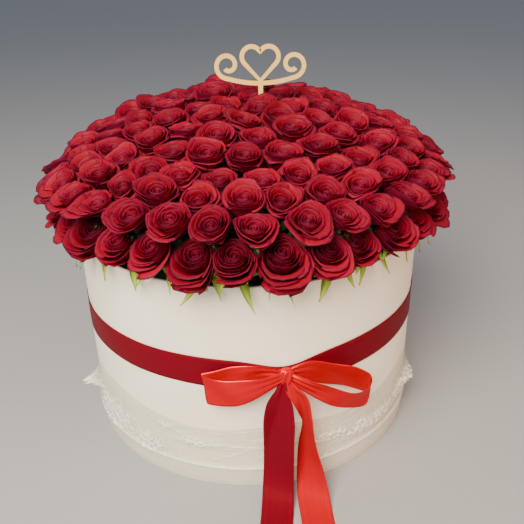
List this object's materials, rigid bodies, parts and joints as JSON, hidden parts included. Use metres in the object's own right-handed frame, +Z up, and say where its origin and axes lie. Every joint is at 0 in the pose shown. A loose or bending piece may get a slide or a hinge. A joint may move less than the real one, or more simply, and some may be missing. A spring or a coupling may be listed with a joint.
{
  "type": "rose box",
  "caption": "Round white gift box in its upturned lid, filled with a dome of red roses in foam, with a satin ribbon bow, film round its foot and a wooden topper.",
  "frame": {"origin": "centre of the lid's flat underside, on the box axis", "axes": "+Z up, out of the bouquet; -Y towards the front, where the bow is; +X to the right as the front is seen"},
  "size_m": [0.5238, 0.5865, 0.4892],
  "materials": {
    "rose_petals": "velvety petals",
    "satin_ribbon": "satin weave",
    "white_card_body": "smooth coated card",
    "white_card_lid": "smooth coated card",
    "flower_foam": "open-cell foam",
    "clear_film": "crumpled clear film",
    "plywood": "laser-cut plywood"
  },
  "bodies": {
    "root": {"bow_knot": "satin_ribbon", "bow_loop_left": "satin_ribbon", "bow_loop_right": "satin_ribbon", "box_body": "white_card_body", "box_lid": "white_card_lid", "film_wrap": "clear_film", "foam": "flower_foam", "ribbon_band": "satin_ribbon", "ribbon_tail_left": "satin_ribbon", "ribbon_tail_right": "satin_ribbon", "roses_row1_01": "rose_petals", "roses_row1_02": "rose_petals", "roses_row1_03": "rose_petals", "roses_row1_04": "rose_petals", "roses_row1_05": "rose_petals", "roses_row1_06": "rose_petals", "roses_row1_07": "rose_petals", "roses_row1_08": "rose_petals", "roses_row1_09": "rose_petals", "roses_row2_01": "rose_petals", "roses_row2_02": "rose_petals", "roses_row2_03": "rose_petals", "roses_row2_04": "rose_petals", "roses_row2_05": "rose_petals", "roses_row2_06": "rose_petals", "roses_row2_07": "rose_petals", "roses_row2_08": "rose_petals", "roses_row3_01": "rose_petals", "roses_row3_02": "rose_petals", "roses_row3_03": "rose_petals", "roses_row3_04": "rose_petals", "roses_row3_05": "rose_petals", "roses_row3_06": "rose_petals", "roses_row3_07": "rose_petals", "roses_row4_01": "rose_petals", "roses_row4_02": "rose_petals", "roses_row4_03": "rose_petals", "roses_row4_04": "rose_petals", "roses_row4_05": "rose_petals", "roses_row4_06": "rose_petals", "roses_row5_01": "rose_petals", "roses_row5_02": "rose_petals", "roses_row5_03": "rose_petals", "roses_row5_04": "rose_petals", "roses_row5_05": "rose_petals", "roses_row6_01": "rose_petals", "roses_row6_02": "rose_petals", "roses_row6_03": "rose_petals", "roses_row6_04": "rose_petals", "roses_row7_01": "rose_petals", "roses_row7_02": "rose_petals", "roses_row8_01": "rose_petals", "topper": "plywood"}
  },
  "joints": []
}
